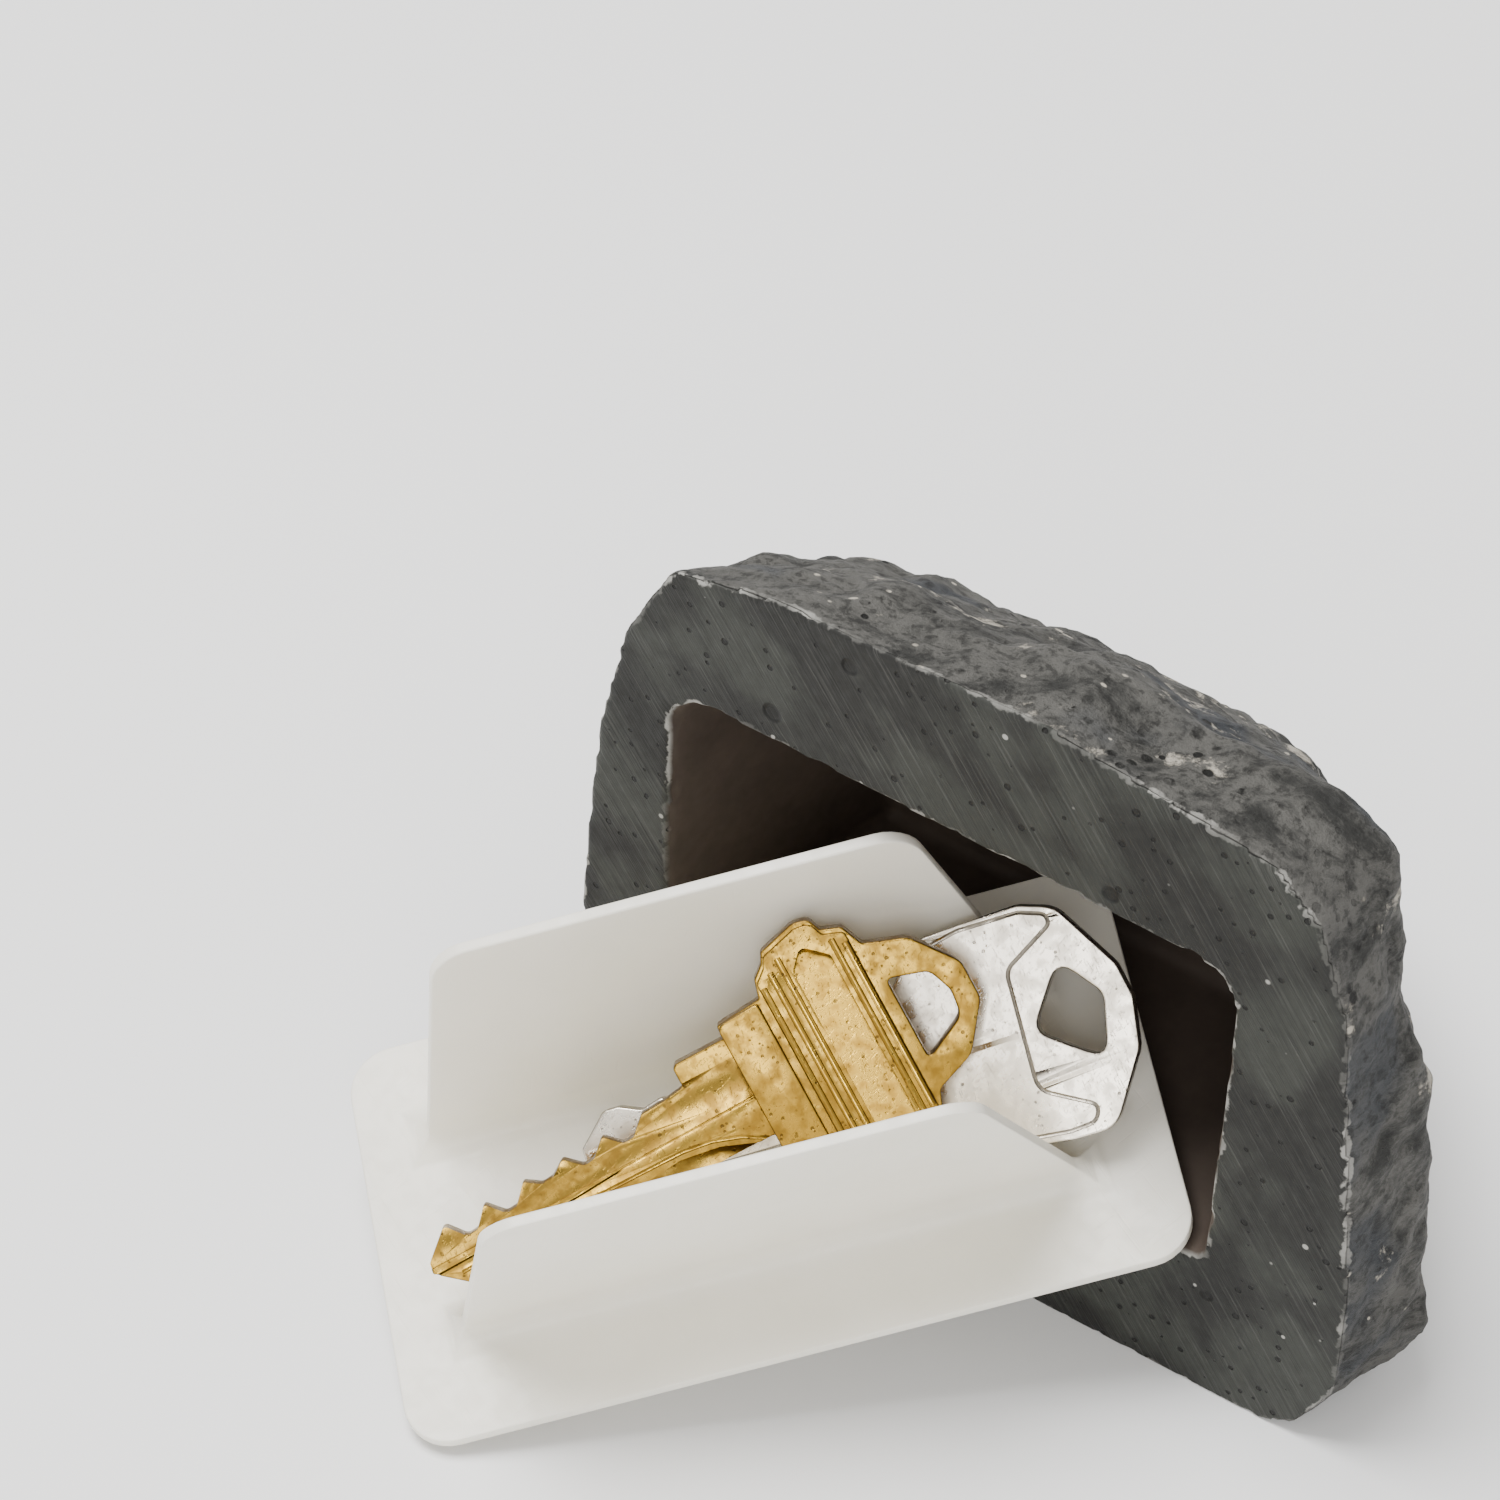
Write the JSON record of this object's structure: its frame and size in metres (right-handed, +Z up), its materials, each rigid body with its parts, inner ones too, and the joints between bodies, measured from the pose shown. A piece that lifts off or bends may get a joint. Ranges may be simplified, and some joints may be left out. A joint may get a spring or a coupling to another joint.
{
  "type": "hide a key rock",
  "caption": "Cast stone shell with a flat sawn base and a tapered hollow; a flanged plastic tray slides out of the mouth and carries spare keys.",
  "frame": {"origin": "on the floor under the middle of the mouth, inside the flat side that the shell lies on", "axes": "+Z up from the floor; -Y out of the sawn base face, which stands upright; +X along the base face's long side"},
  "size_m": [0.0995, 0.1025, 0.072],
  "materials": {
    "cast_stone": "rough marbled grey cast stone, sawn and pitted on the flat face",
    "white_plastic": "smooth milky white moulding",
    "nickel_silver": "bright satin with fine wear",
    "key_brass": "aged satin with dark speckle"
  },
  "bodies": {
    "shell": {"rock_shell": "cast_stone"},
    "tray": {"key_tray": "white_plastic"},
    "nickel_key": {"nickel_key": "nickel_silver"},
    "brass_key": {"brass_key": "key_brass"}
  },
  "joints": [
    {"name": "tray_slide", "type": "slide", "parent": "shell", "child": "tray", "axis": [-0.7266, -0.6871, 0], "range_m": [0, 0.065]},
    {"name": "nickel_key_lift", "type": "slide", "parent": "tray", "child": "nickel_key", "axis": [0.031, -0.3516, 0.9356], "range_m": [0, 0.012]},
    {"name": "brass_key_lift", "type": "slide", "parent": "nickel_key", "child": "brass_key", "axis": [0.031, -0.3516, 0.9356], "range_m": [0, 0.012]}
  ]
}
